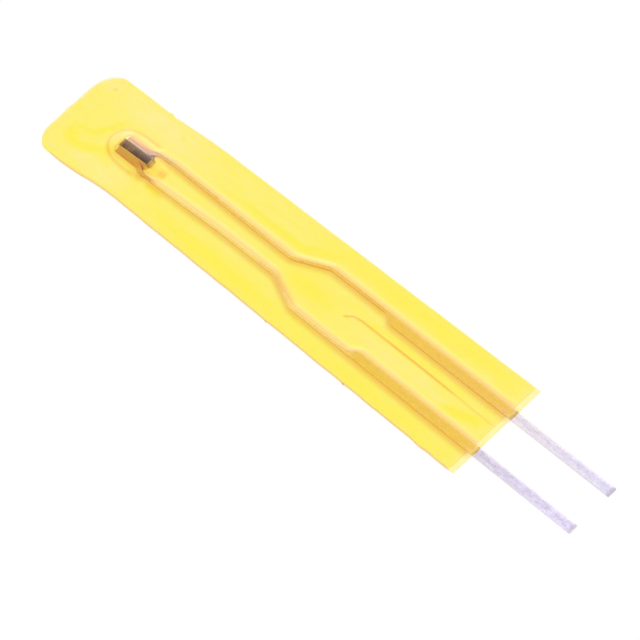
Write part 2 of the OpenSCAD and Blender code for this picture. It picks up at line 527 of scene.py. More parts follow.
    def slope(self, near: Array) -> Array:
        """How far up the drape beside a lead a point is, from its distance to the metal."""
        run = np.clip((near + self.shoulder) / (self.shoulder + self.drape_run), 0.0, 1.0)
        return 0.5 * (1 + np.cos(math.pi * run))


@dataclass(frozen=True)
class Mark:
    """A soft patch in the film. A deeper one is left by lamination; a paler one is painted sheen.

    Its place is x along the strip and y across it, its half sizes are long and wide, and turn is
    in degrees. Amber is how much deeper its yellow is, where negative paints a paler sheen, and
    glue how thick the adhesive in it is.
    """

    x: float
    y: float
    long: float
    wide: float
    turn: float = 0.0
    amber: float = 0.0
    glue: float = 0.0

    def share(self, x: Array, y: Array) -> Array:
        """How strong the mark is.

        Args:
            x: places along the strip.
            y: places across it, in the frame.

        Returns:
            Its strength at each point, 1 at its middle.
        """
        c, n = math.cos(math.radians(self.turn)), math.sin(math.radians(self.turn))
        u, v = (x - self.x) * c + (y - self.y) * n, (y - self.y) * c - (x - self.x) * n
        return np.exp(-((u / self.long) ** 2) ** 1.5 - (v / self.wide) ** 2)


@dataclass(frozen=True)
class PolyimideFilm:
    """Amber polyimide film with an adhesive coat, cast and then slit with a knife.

    Cast film is smooth and clear: the eye sees the white table through it in yellow, a soft glare
    that follows each slope, and a deeper amber wherever adhesive has pooled beside the metal.
    """

    clear: str = "FFFBC9"
    # How fast adhesive takes red, green and blue out of the light, per millimetre of depth
    glue: Three = (0.5, 6.6, 6.0)
    # Colour of a cut edge, and how much of what lies behind it is hidden: the first is the left
    # edge's painted glow, the second the nearly clear rest of the rim
    edge_glow: tuple[str, float] = ("FFE4CC", 0.4)
    sheared: tuple[str, float] = ("FFF8E6", 0.06)
    ior: float = 1.7
    roughness: float = 0.12
    # Shallow cockles of the film, how wide and how high
    cockle_mm: float = 1.6
    cockle_height_mm: float = 0.0006
    # Streaks in the adhesive, how long and how wide
    streak_mm: Pair = (0.8, 0.16)
    streak_amber: float = 0.4
    rim_line_mm: float = 0.065
    crease_line_mm: float = 0.032

    def amber(self, tree: bpy.types.NodeTree) -> bpy.types.Node:
        """Colour that the bonded surface passes: deeper at pools, lines and lamination marks.

        Args:
            tree: the material's node tree.

        Returns:
            The node that gives the colour.
        """
        depth = add(tree, "Attribute", attribute_name="glue").outputs["Fac"]
        for name, wide in (("rim", self.rim_line_mm), ("crease", self.crease_line_mm)):
            away, strong = (add(tree, "Attribute", attribute_name=name + part).outputs["Fac"]
                            for part in ("_mm", "_glue"))
            width = add(tree, "Math", {0: away, 1: wide}, operation="DIVIDE")
            square = add(tree, "Math", {0: width, 1: width}, operation="MULTIPLY")
            fall = add(tree, "Math", {0: math.exp(-1), 1: square}, operation="POWER")
            depth = add(tree, "Math", {0: fall, 1: strong, 2: depth}, operation="MULTIPLY_ADD")
        streaks = mottling(tree, *self.streak_mm, detail=3.0, roughness=0.6)
        uneven = add(tree, "MapRange", {
            "Value": streaks, "To Min": -self.streak_amber, "To Max": self.streak_amber})
        mark = add(tree, "Attribute", attribute_name="amber").outputs["Fac"]
        extra = add(tree, "Math", {0: mark, 1: uneven}, operation="ADD")
        passed = [add(tree, "Math", {0: math.exp(-k), 1: depth}, operation="POWER")
                  for k in self.glue]
        deep = add(tree, "Math", {0: math.exp(-1), 1: extra}, operation="POWER")
        passed[2] = add(tree, "Math", {0: passed[2], 1: deep}, operation="MULTIPLY")
        tint = add(tree, "CombineColor", dict(enumerate(passed)))
        return add(tree, "VectorMath", {0: tint, 1: linear(self.clear)[:3]}, operation="MULTIPLY")

    def outer(self) -> bpy.types.Material:
        """Makes the film's free surface: clear amber under a soft gloss.

        Returns:
            The material.
        """
        material, tree = new_material("polyimide_film_cast")
        cockles = mottling(tree, self.cockle_mm, self.cockle_mm, detail=2.0, roughness=0.4)
        waves = add(tree, "Bump", {
            "Strength": 1.0, "Distance": self.cockle_height_mm * MM, "Height": cockles})
        see = add(tree, "BsdfTransparent", {"Color": linear(self.clear)})
        gloss = add(tree, "BsdfAnisotropic", {
            "Color": (1.0, 1.0, 1.0, 1.0), "Roughness": self.roughness, "Normal": waves})
        # Only light from outside is mirrored, so the film's inner surfaces stay clear
        mirror = add(tree, "Fresnel", {"IOR": self.ior, "Normal": waves})
        inside = add(tree, "NewGeometry").outputs["Backfacing"]
        outside = add(tree, "Math", {0: 1.0, 1: inside}, operation="SUBTRACT")
        shine = add(tree, "Math", {0: mirror, 1: outside}, operation="MULTIPLY")
        whole = add(tree, "MixShader", {0: shine, 1: see, 2: gloss})
        add(tree, "OutputMaterial", {"Surface": whole})
        return material

    def bonded(self) -> bpy.types.Material:
        """Makes the film's adhesive side, which tints but doesn't shine.

        Returns:
            The material.
        """
        material, tree = new_material("polyimide_film_bonded")
        see = add(tree, "BsdfTransparent", {"Color": self.amber(tree)})
        add(tree, "OutputMaterial", {"Surface": see})
        return material

    def edge(self, name: str, colour: str, cover: float) -> bpy.types.Material:
        """Makes a cut edge, where light that ran along the film comes out.

        Args:
            name: the material's name.
            colour: what the eye sees in the edge.
            cover: how much of what lies behind it is hidden.

        Returns:
            The material.
        """
        material, tree = new_material(name)
        see, rim = (add(tree, kind, {"Color": linear(colour)})
                    for kind in ("BsdfTransparent", "BsdfDiffuse"))
        whole = add(tree, "MixShader", {0: cover, 1: see, 2: rim})
        add(tree, "OutputMaterial", {"Surface": whole})
        return material

    def slots(self) -> list[bpy.types.Material]:
        """Makes the film's materials, in the order of Face."""
        return [self.outer(), self.bonded(), self.edge("polyimide_film_edge_glow", *self.edge_glow),
                self.edge("polyimide_film_sheared_end", *self.sheared)]


@dataclass(frozen=True)
class TinnedStrip:
    """Hot-tinned copper strip, rolled flat and then stamped.

    The tin is pale and a little lavender, mottled along the rolling direction. Adhesive wets it
    to gold under the film, and the stamped ends show a dull pinkish core. Each line of tones
    gives the metal's colour at places along the strip, with painted light in it: the left lead's
    run is paler than the right's by a painted reflection, and at the film's cut end the tones
    darken across each lead, partly adhesive squeezed out there and partly a painted shadow of the
    film's end.
    """

    left: tuple[tuple[float, str], ...] = (
        (-4.85, "D6CADF"), (-4.83, "D3C8DF"), (-4.8, "E5DCFB"), (-0.17, "DCD4E8"),
        (-0.11, "E0CED2"), (-0.06, "D4C7BC"), (-0.02, "E5D0C8"), (0.02, "F3D7BA"),
        (0.08, "EED084"), (0.3, "ECCB5C"), (6.3, "EBCD40"), (7.0, "F4D8BE"), (10.0, "F9E0CE"),
        (11.2, "ECCD69"), (13.0, "FEE5C8"), (18.8, "FFE6FF"), (19.2, "DFB140"), (20.0, "DAB204"),
        (20.4, "D6943E"), (21.6, "D89560"))
    right: tuple[tuple[float, str], ...] = (
        (-4.85, "C3BCD1"), (-4.83, "CAC1DB"), (-4.8, "DED9F2"), (-0.17, "E6DCE8"),
        (-0.11, "DACAC6"), (-0.06, "C0B5B4"), (-0.02, "CEBEC8"), (0.02, "E8D0CC"),
        (0.08, "E8CC90"), (0.3, "E9C76C"), (6.5, "EBCB40"), (7.0, "E9C64A"), (10.0, "ECCD69"),
        (11.5, "F3D774"), (18.6, "EACE68"), (18.95, "E6CA84"), (19.3, "E4C6FF"), (19.9, "E3C2FF"),
        (20.2, "D0AFF6"), (20.8, "F6C98E"), (21.6, "FFD266"))
    # How much paler the rolled rims and the flats beside them are painted: painted light on edges
    # that face away from the bright sky. Under the film there is one painted value for the half of
    # a lead to the right and one for the half to the left, as the two halves catch light
    # differently
    painted_rim_light_bare: Three = (1.18, 1.18, 1.06)
    painted_side_light_bare: Three = (1.09, 1.09, 1.03)
    painted_rim_light_wet: tuple[Three, Three] = ((1.0, 0.93, 4.0), (1.17, 1.28, 2.8))
    painted_side_light_wet: tuple[Three, Three] = ((1.0, 1.0, 2.4), (1.06, 1.02, 5.5))
    wet_run: Pair = (-0.12, 0.06)
    roughness: float = 0.38
    # Rolling streaks, and specks of tin that are drawn coarser than real ones so that they show
    streak_mm: Pair = (0.3, 0.09)
    streak_depth: float = 0.42
    streak_left: float = 0.7
    streak_right: float = 0.5
    wet_hides: float = 0.7
    speck_mm: float = 0.05
    speck_depth: float = 0.085
    # Which part of both patterns, from 0 to 1, is spread over their whole range
    contrast: Pair = (0.3, 0.7)
    dent_mm: float = 0.002
    dent_share: float = 0.6

    def tones(self, side: Side, x: Array) -> Array:
        """Colour of a lead's metal at places along the strip.

        Args:
            side: which lead.
            x: the places.

        Returns:
            Linear red, green, blue and alpha for each place.
        """
        places, codes = zip(*side.pick(self.left, self.right))
        shades = np.array([linear(code) for code in codes])
        return np.stack([np.interp(x, places, shades[:, c]) for c in range(4)], 1)

    def gain(self, wet: Array, rim: Array, side: Array, leftward: Array) -> Array:
        """Painted light on a lead's rims and the flats beside them, bare or wetted by adhesive.

        Args:
            wet: 1 under the film, 0 on the bare end, for each point.
            rim: 1 on the rolled edge and the wall.
            side: 1 on the flat beside the rolled edge.
            leftward: 1 on the half of the lead towards the strip's left edge.

        Returns:
            Factors for red, green and blue for each point.
        """
        gains = np.ones((len(wet), 3))
        for dry, glued, share in ((self.painted_rim_light_bare, self.painted_rim_light_wet, rim),
                                  (self.painted_side_light_bare, self.painted_side_light_wet, side)):
            covered = np.array(glued)[leftward.astype(int)]
            tint = np.array(dry) * (1 - wet[:, None]) + covered * wet[:, None]
            gains = gains * tint ** share[:, None]
        return gains

    def build(self) -> bpy.types.Material:
        """Makes the tin's material.

        Returns:
            The material.
        """
        material, tree = new_material("hot_tinned_copper_rolled")
        low, high = self.contrast
        streaks = mottling(tree, *self.streak_mm, detail=4.0, roughness=0.6)
        stripe = add(tree, "Attribute", attribute_name="stripe").outputs["Fac"]
        marks = add(tree, "MapRange", {"Value": streaks, "From Min": low, "From Max": high})
        dark = add(tree, "Math", {0: marks, 1: stripe}, operation="MULTIPLY")
        specks = mottling(tree, self.speck_mm, self.speck_mm, detail=2.0)
        fine = add(tree, "MapRange", {
            "Value": specks, "From Min": low, "From Max": high, "To Min": 1 - self.speck_depth,
            "To Max": 1 + self.speck_depth})
        shade = add(tree, "Math", {0: dark, 1: -self.streak_depth, 2: fine},
                    operation="MULTIPLY_ADD")
        tone = add(tree, "Attribute", attribute_name="tone").outputs["Color"]
        colour = add(tree, "VectorMath", {0: tone, "Scale": shade}, operation="SCALE")
        dented_surface(tree, colour, streaks, self.dent_mm, self.dent_share,
                       {"Metallic": 1.0, "Roughness": self.roughness})
        return material


@dataclass(frozen=True)
class SawnCeramic:
    """Sintered manganese-nickel oxide ceramic, diced with a saw.

    It is dark brown and dull, mottled by its grain, with a few pale chipped grains and paler
    ends: on the near end face the pale colour is painted light, less of it towards its top.
    """

    body: str = "461008"
    pale: str = "805866"
    fleck: str = "B99A90"
    mottle: Pair = (0.55, 1.35)
    # Which part of the grain pattern, from 0 to 1, gives the mottling and the chipped grains
    mottle_span: Pair = (0.35, 0.65)
    fleck_span: Pair = (0.64, 0.76)
    # Pale colour of the ends; on the near end face it is painted light
    end_colour_and_light: str = "FFF6B4"
    roughness: float = 0.6
    specular: float = 0.12
    # The grains are drawn coarser than real ones, so that they show
    grain_mm: float = 0.06
    dent_mm: float = 0.003
    dent_share: float = 0.5
    # Where the pale colours lie: start, length and strength of each rise along the chip
    near_end: Pair = (0.0, 0.07)
    end_top: float = 0.55
    far_end: Three = (-0.16, 0.16, 0.3)
    pale_far: Three = (0.92, 0.2, 0.8)
    pale_last: Three = (1.35, 0.15, 0.4)
    pale_left: float = 0.4
    pale_near: Three = (0.3, 0.4, 0.15)
    pale_right: float = 0.45
    pale_right_from: float = -0.03
    pale_right_along: Three = (0.15, 0.4, 0.5)

    def ends(self, along: Array, up: Array, length: float) -> Array:
        """How much of the pale end colour shows: painted light at the near end, and a paler far
        end.

        Args:
            along: distance from the bar's near end.
            up: height over its foot, as a share of its height.
            length: the bar's length.

        Returns:
            The share at each point.
        """
        start, run, strong = self.far_end
        return ((1 - ease(along, *self.near_end)) * (1 - self.end_top * up)
                + ease(along, length + start, run, strong))

    def patches(self, along: Array, across: Array, half: float) -> Array:
        """How much of the pale brown shows.

        Args:
            along: distance from the bar's near end.
            across: distance to the left of its centre line.
            half: half its width.

        Returns:
            The share at each point.
        """
        left = 1 - ease(across, 0.0, half, self.pale_left)
        far = ease(along, *self.pale_far) * (1 - ease(along, *self.pale_last)) * left
        right = ease(-across, self.pale_right_from, half, self.pale_right)
        start, run, share = self.pale_right_along
        return (far + ease(along, *self.pale_near)
                + right * (1 - share + ease(along, start, run, share)))

    def build(self) -> bpy.types.Material:
        """Makes the ceramic's material.

        Returns:
            The material.
        """
        material, tree = new_material("sintered_oxide_ceramic_sawn")
        grain = mottling(tree, self.grain_mm, self.grain_mm, detail=3.0)
        fleck = add(tree, "MapRange", {
            "Value": grain, "From Min": self.fleck_span[0], "From Max": self.fleck_span[1]})
        mottle = add(tree, "MapRange", {
            "Value": grain, "From Min": self.mottle_span[0], "From Max": self.mottle_span[1],
            "To Min": self.mottle[0], "To Max": self.mottle[1]})
        pale, end = (add(tree, "Attribute", attribute_name=name).outputs["Fac"]
                     for name in ("pale", "end"))
        patch = add(tree, "Math", {0: mottle, 1: pale}, operation="MULTIPLY")
        colour = linear(self.body)
        for share, paint in ((patch, self.pale), (fleck, self.fleck), (end, self.end_colour_and_light)):
            colour = add(tree, "Mix", {0: share, 6: colour, 7: linear(paint)},
                         data_type="RGBA").outputs[2]
        dented_surface(tree, colour, grain, self.dent_mm, self.dent_share,
                       {"Roughness": self.roughness, "Specular IOR Level": self.specular})
        return material


@dataclass(frozen=True)
class SoftMetal:
    """A soft pale metal coat: fired silver paste, or solder that has flowed and set.

    Fired silver is finely granular and satin; set solder is smoother with shallow ripples. The
    colours of the chip's two sides differ, as in the photograph: painted light and shade on two
    copies of one coat, and a shade attribute paints more on parts of it. The silver's grain is
    drawn coarser than a real one, so that it shows.
    """

    name: str
    left: str
    right: str
    grain_mm: float
    height_mm: float
    roughness: float = 0.5
    shades: Pair = (0.86, 1.1)
    dent_share: float = 0.6

    def build(self, side: Side) -> bpy.types.Material:
        """Makes the metal's material.

        Args:
            side: which side of the chip it is on.

        Returns:
            The material.
        """
        material, tree = new_material(f"{self.name}_{side.word}")
        grain = mottling(tree, self.grain_mm, self.grain_mm, detail=3.0)
        shade = add(tree, "MapRange", {
            "Value": grain, "To Min": self.shades[0], "To Max": self.shades[1]})
        tint = add(tree, "Attribute", attribute_name="shade").outputs["Color"]
        colour = linear(side.pick(self.left, self.right))[:3]
        tinted = add(tree, "VectorMath", {0: colour, 1: tint}, operation="MULTIPLY")
        mottled = add(tree, "VectorMath", {0: tinted, "Scale": shade}, operation="SCALE")
        dented_surface(tree, mottled, grain, self.height_mm, self.dent_share,
                       {"Metallic": 1.0, "Roughness": self.roughness})
        return material


@dataclass(frozen=True)
class WhiteTable:
    """Matt white laminate table top: the eye sees plain white and the object's faint shadow."""

    colour: str = "F2F2F2"
    shadow_share: float = 0.1
    glow: float = 0.92

    def build(self) -> bpy.types.Material:
        """Makes the table's material, white to the camera, mirrors and glass, plain to the rest.

        Returns:
            The material.
        """
        material, tree = new_material("laminate_table_matt")
        plain = add(tree, "BsdfDiffuse", {"Color": linear(self.colour)})
        faint = add(tree, "BsdfDiffuse", {"Color": (self.shadow_share,) * 3 + (1.0,)})
        shine = add(tree, "Emission", {"Strength": self.glow})
        white = add(tree, "AddShader", {0: faint, 1: shine})
        path = add(tree, "LightPath").outputs
        seen = path["Is Camera Ray"]
        for kind in ("Is Glossy Ray", "Is Transmission Ray"):
            seen = add(tree, "Math", {0: seen, 1: path[kind]}, operation="MAXIMUM")
        whole = add(tree, "MixShader", {0: seen, 1: plain, 2: white})
        add(tree, "OutputMaterial", {"Surface": whole})
        return material


@dataclass(frozen=True)
class FilmPair:
    """The two films: a flat base and a cover draped over the leads and the chip.

    Pairs are the start and length of a smooth rise. Threes also give its height, or give the
    place, width and height of a bump.
    """

    strip: Strip
    finish: PolyimideFilm
    # How the films are cut into stations and columns
    along: float = 0.1
    fine: float = 0.045
    least: float = 0.008
    edge_marks: tuple[float, ...] = (0.0, 0.015, 0.03, 0.05, 0.075)
    burr_marks: tuple[float, ...] = (10.3, 5.9, 1.8, 21.05)
    burr_reach: float = 0.15
    crease_end: Pair = (8.2, 0.8)
    far_half: float = 0.4
    past_run: float = 0.3
    foot_share: float = 0.45
    rim_clear: float = 0.1
    even: Pair = (-0.4, 2.0)
    counts: tuple[int, ...] = (12, 7, 1, 5, 1, 7, 5, 5, 4, 7, 1, 5, 1, 7, 12)
    base_columns: int = 9
    # The cover's shape
    gap: float = 0.002
    nose: float = 0.125
    nose_run: Pair = (0.0, 0.3)
    # The lip over a lead at the cut end: its least share of the thickness, and how long it is
    lip: Pair = (0.06, 0.07)
    least_t: float = 0.01
    crown: float = 0.05
    crown_rise: Pair = (0.6, 0.4)
    sink: float = 0.043
    lean: float = 0.15
    inset: float = 0.012
    inset_run: float = 0.5
    nip: float = 0.01
    bevel: float = 0.04
    bevel_run: float = 0.06
    bevel_start: Pair = (0.24, 0.1)
    crease_height: float = 0.006
    crease_half: float = 0.06
    # The adhesive under it
    pool_power: float = 1.4
    pool_blister: float = 0.08
    pool_start: Pair = (0.0, 0.3)
    pool_drop: Pair = (0.4, 0.4)
    thin_half: float = 0.04
    thin_share: float = 0.2
    thin_neck: float = 0.35
    neck_in: Pair = (-0.1, 0.4)
    neck_out: float = 0.3
    chip_glue: float = 0.07
    chip_fade: float = 0.06
    chip_touch: float = 0.004
    chip_share: float = 0.45
    chip_last: float = 0.06
    cut_glue: Three = (0.0, 0.05, 0.05)
    rim_glue: float = 0.034
    rim_start: Pair = (0.2, 0.5)
    rim_blot: Three = (22.0, 0.4, 0.5)
    rim_blot_left: Pair = (0.1, 0.3)
    crease_glue: float = 0.085
    # How much deeper its yellow is
    amber_start: Pair = (0.15, 0.8)
    cut_amber: Three = (0.34, 0.16, -0.25)
    crease_amber: Three = (-0.01, 0.045, 0.7)
    crease_fade: Line = ((0.25, 0.0), (0.5, 0.25), (2.2, 0.3), (2.8, 0.85), (5.6, 1.0),
                         (6.2, 0.7), (7.4, 0.85), (7.8, 0.6), (8.0, 0.85), (8.15, 0.6), (8.2, 0.0))
    marks: tuple[Mark, ...] = (
        Mark(5.2, 1.42, 4.8, 0.27, 0, 0.85), Mark(14.0, 1.25, 3.7, 0.27, -0.5, 1.4),
        Mark(5.0, -0.36, 3.2, 0.13, 0, 0.7), Mark(5.8, -1.58, 4.8, 0.26, 0, 1.05),
        Mark(13.5, -0.9, 2.4, 0.1, 0, 1.4), Mark(10.9, -1.2, 0.9, 0.13, 16, 1.1),
        Mark(10.0, -0.02, 1.2, 0.28, 0, 1.3), Mark(1.1, 0.06, 0.4, 0.15, 8, 1.5),
        Mark(22.55, -0.34, 0.3, 0.12, 50, 1.2), Mark(22.84, 0.01, 0.3, 0.13, 48, 1.5),
        Mark(23.15, 0.3, 0.28, 0.13, 35, 1.2), Mark(23.65, 0.45, 0.45, 0.12, 5, 0.9),
        Mark(23.65, 1.07, 0.35, 0.12, 3, 0.9), Mark(22.5, 0.8, 0.6, 0.15, 22, 1.2),
        Mark(23.2, 1.0, 0.5, 0.14, 6, 1.3), Mark(23.95, 0.84, 0.35, 0.2, -15, 1.9),
        Mark(1.85, 0.22, 0.5, 0.13, 10, 1.8), Mark(19.05, 0.06, 0.16, 0.15, 0, 1.0, 0.05),
        Mark(19.45, 0.02, 0.35, 0.22, 0, 0.8, 0.008),
        Mark(21.9, 0.5, 0.22, 0.15, -40, 1.8, 0.008),
        Mark(16.27, -0.48, 0.09, 0.035, 30, 0.5, 0.03),
        Mark(1.5, 1.71, 0.08, 0.05, 0, 0.3, 0.03), Mark(2.4, 1.71, 0.06, 0.05, 0, 0.3, 0.03),
        Mark(3.5, 1.7, 0.09, 0.05, 0, 0.3, 0.03), Mark(5.95, 1.73, 0.05, 0.05, 0, 0.6, 0.3),
        Mark(10.42, 1.73, 0.05, 0.04, 0, 0.5, 0.15),
        Mark(19.73, -1.39, 0.05, 0.04, 0, 1.0, 0.012),
        Mark(24.15, -1.29, 0.09, 0.06, 20, 0.8, 0.02),
        # Marks with negative amber are painted sheen: paler patches of reflected light
        Mark(20.8, -1.25, 2.8, 0.55, 0, -0.6), Mark(21.7, 1.35, 1.6, 0.35, 0, -0.6),
        Mark(20.6, 0.95, 0.7, 0.14, 0, -0.45), Mark(4.8, 0.1, 2.8, 0.25, 0, -0.4),
        Mark(20.8, -0.24, 0.95, 0.15, 0, -0.45), Mark(20.75, 0.31, 0.95, 0.13, 0, 1.2),
        Mark(24.4, -1.4, 0.6, 0.4, 0, -0.3), Mark(18.75, 0.68, 0.5, 0.1, -3, 1.4, 0.012),
        Mark(20.05, 0.67, 0.35, 0.13, 0, 0.7, 0.02), Mark(22.1, 0.0, 0.2, 0.25, 0, 0.5, 0.01),
        Mark(22.12, 0.46, 0.16, 0.16, 0, 1.4), Mark(19.3, 0.08, 0.3, 0.15, 0, 0.8, 0.012))

    def stations(self) -> Array:
        """Places along the strip, closer together where a shape turns.

        Returns:
            The places, in order.
        """
        s = self.strip
        places = [*self.edge_marks, s.film_len, s.chip_end, s.lead_end]
        places += list(np.arange(0.1, s.film_len, self.along))
        for start, end in ((s.taper_x - 0.3, 8.4), (s.jog_x - 0.3, s.throat_x + 0.3),
                           (s.neck_x - 0.4, s.blister_end + 0.1)):
            places += list(np.arange(start, end, self.fine))
        for place in self.burr_marks:
            places += list(place + np.linspace(-self.burr_reach, self.burr_reach, 13))
        for radius in (s.left_r, s.right_r):
            places += [s.film_len - radius + radius * math.sin(math.radians(a))
                       for a in range(0, 90, 5)]
        return thinned(places, self.least, s.film_len)

    def columns(self, x: Array) -> Array:
        """Places across the strip at each station, lined up with the leads' edges and the rim.

        Args:
            x: the stations.

        Returns:
            Stations by columns of y.
        """
        s = self.strip
        past = ease(x, s.lead_end, self.past_run)
        inner, outer = (line * (1 - past) + end * past for line, end in (
            (s.inner(x), s.block_half), (s.outer(x), self.far_half)))
        within, without = inner + s.slim(x), outer - s.waist(x)
        nip, foot = self.nip, np.maximum(inner - s.drape_run, self.foot_share * inner)
        far = np.where(x > s.rim_x, s.rim_far, s.rim_near)
        oval = s.rim_half * np.sqrt(np.maximum(
            0.0, 1 - np.minimum(1, np.abs(x - s.rim_x) / far) ** s.rim_power))
        rim = np.maximum((outer + s.drape_run) * (1 - past) + (outer + self.rim_clear) * past, oval)
        mid, left, right = s.mid(x), s.left_edge(x), s.right_edge(x)
        crease = np.interp(x, *zip(*s.crease_line)) * (1 - ease(x, *self.crease_end))
        knots = [right, mid - rim, mid - outer, mid - outer + nip, mid - within - nip, mid - within,
                 mid - foot, np.clip(crease, mid - 0.8 * foot, mid + 0.2 * foot),
                 mid + 0.5 * foot, mid + foot, mid + inner, mid + inner + nip,
                 mid + without - nip, mid + without, mid + rim, left]
        rows = [a + (b - a) * t for a, b, n in zip(knots, knots[1:], self.counts)
                for t in np.arange(n) / n]
        y = np.stack(rows + [left], 1)
        even = right[:, None] + (left - right)[:, None] * np.linspace(0, 1, y.shape[1])
        start, run = self.even
        return y + (even - y) * ease(x, s.blister_end + start, run)[:, None]

    def heights(self, x: Array, y: Array) -> tuple[Array, Array, Array]:
        """Shape of the draped film.

        Args:
            x: places along the strip.
            y: places across it, in the frame.

        Returns:
            The rise of its upper surface, the rise of its underside and the depth of adhesive
            under it.
        """
        s = self.strip
        near, up, close = s.beside(x, y), s.blister(x, y), s.off_chip(x, y)
        drape, on_lead = s.slope(near), x <= s.lead_end
        across = (y - s.film_y - s.chip_off) / s.block_half
        bow = (self.crown * np.clip(1 - (across + self.lean) ** 2, 0.0, 1.0)
               * ease(up, *self.crown_rise)) - self.sink * up
        ridge = bump(s.crease(x, y), 0.0, self.crease_half, self.crease_height) * np.interp(
            x, *zip(*self.crease_fade))
        tent = s.chip_t * up
        upper = np.maximum(np.maximum(s.lead_t * drape, tent + bow), ridge)
        metal = np.where((near < 0) & on_lead, s.lead_t, 0.0)
        lower = np.maximum(np.maximum(np.maximum(s.lead_t * drape, metal), tent), ridge)
        pool = np.maximum(s.lead_t * drape ** self.pool_power, self.pool_blister * tent)
        pool = pool * ease(x, *self.pool_start) * (1 - ease(x, s.chip_x, *self.pool_drop))
        pool = pool + self.chip_glue * np.exp(-close / self.chip_fade) * (x > s.pad_x)
        start, run = self.neck_in
        neck = ease(x, s.neck_x + start, run) * (1 - ease(x, s.pad_x, self.neck_out))
        thin = bump(np.maximum(near, 0.0), 0.0, self.thin_half) * (
            self.thin_share + self.thin_neck * neck)
        last = x > s.chip_end - self.chip_last
        pool = np.where(close < self.chip_touch, self.chip_share * self.chip_glue * last, pool)
        under_metal = (near < -0.5 * self.nip) & on_lead
        return upper, lower, np.where(under_metal, 0.0, pool * (1 - thin))

    def skin(self, name: str, node: str, x: Array, surfaces: Sequence[Array],
             kinds: tuple[Face, Face], values: dict[str, Array]) -> bpy.types.Object:
        """Closes the upper and the lower surface of a film into one piece.

        Args:
            name: the piece's name.
            node: the frame's node that it stands for.
            x: the film's stations.
            surfaces: the upper and the lower surface, each stations by columns by x, y, z.
            kinds: which face of the film each of them is.
            values: named numbers for the points of a surface.

        Returns:
            The piece.
        """
        faces, walls = grid_faces(*surfaces[0].shape[:2])
        half = len(faces) // 2
        slots = [kinds[0].value] * half + [kinds[1].value] * half
        # The left edge shows painted light, the glow of light that ran along the film, and the rest
        # of the rim stays nearly clear
        for straight in x[1:] < self.strip.corner_x:
            slots += [Face.SHEARED.value, (Face.EDGE_GLOW if straight else Face.SHEARED).value]
        slots += [Face.SHEARED.value] * (len(faces) + len(walls) - len(slots))
        points = np.concatenate([surface.reshape(-1, 3) for surface in surfaces])
        values = {key: np.tile(np.ravel(numbers), 2) for key, numbers in values.items()}
        return make_piece(name, node, points, faces + walls, self.finish.slots(), values,
                          slots=slots)

    def cover(self) -> bpy.types.Object:
        """Builds the draped cover film.

        Returns:
            The piece.
        """
        s = self.strip
        x = self.stations()
        y = self.columns(x)
        xx = np.broadcast_to(x[:, None], y.shape)
        upper, lower, pool = self.heights(xx, y)
        on_lead = s.slope(s.beside(xx, y))
        early = on_lead * (1 - ease(xx, *self.nose_run))
        least, run = self.lip
        thick = s.film_t * (1 - on_lead * (1 - np.sqrt(np.clip(least + xx / run, 0, 1))))
        place = xx - self.nose * early + s.head(xx, y) + s.shift
        low = s.film_t + self.gap + lower
        top = np.maximum(low - self.gap + thick, low + self.least_t) + upper - lower
        draw_in = (self.bevel * ease(y, s.left_edge(xx) - self.bevel_run, self.bevel_run)
                   * ease(xx, *self.bevel_start))
        surfaces = [np.stack([place, y - inward, z], -1)
                    for z, inward in ((top, draw_in), (low, 0.0))]
        shares = [mark.share(xx, y) for mark in self.marks]
        fade = np.interp(xx, *zip(*self.crease_fade))
        amber = sum(mark.amber * share for mark, share in zip(self.marks, shares))
        amber = (amber * ease(xx, *self.amber_start) + bump(xx, *self.cut_amber)
                 + fade * bump(s.crease(xx, y), *self.crease_amber))
        pool = pool + sum(mark.glue * share for mark, share in zip(self.marks, shares))
        pool = pool + early * (self.cut_glue[2] - ease(xx, *self.cut_glue))
        start, run = self.rim_start
        rim = self.rim_glue * (ease(xx, s.chip_x + start, run)
                               + bump(xx, *self.rim_blot) * ease(y, *self.rim_blot_left))
        values = {"glue": pool, "amber": amber, "rim_mm": s.rim(xx, y), "rim_glue": rim,
                  "crease_mm": s.crease(xx, y), "crease_glue": self.crease_glue * fade}
        return self.skin("cover_film_draped", "cover_film", x, surfaces,
                         (Face.OUTER, Face.BONDED), values)

    def base(self) -> bpy.types.Object:
        """Builds the flat base film, cut a hair smaller than the cover and free of marks.

        Returns:
            The piece.
        """
        s = self.strip
        x = self.stations()
        x = np.concatenate([[s.cover_lap], x[x > s.cover_lap + 0.01]])
        left, right = s.left_edge(x)[:, None], s.right_edge(x)[:, None] + self.inset
        y = right + (left - right) * np.linspace(0, 1, self.base_columns)
        shrink = self.inset * ease(x, s.corner_x - self.inset_run, self.inset_run)
        xx = (x - shrink)[:, None] + s.head(x[:, None], y) + s.shift
        surfaces = [np.stack([xx, y, np.full(y.shape, z)], -1)
                    for z in (s.film_t - 0.1 * self.gap, 0.0)]
        names = ("glue", "amber", "rim_glue", "crease_glue", "rim_mm", "crease_mm")
        return self.skin("base_film_flat", "base_film", x, surfaces, (Face.BONDED, Face.OUTER),
                         {name: np.zeros(y.shape) for name in names})

    def build(self) -> list[bpy.types.Object]:
        """Builds both films."""
        return [self.cover(), self.base()]


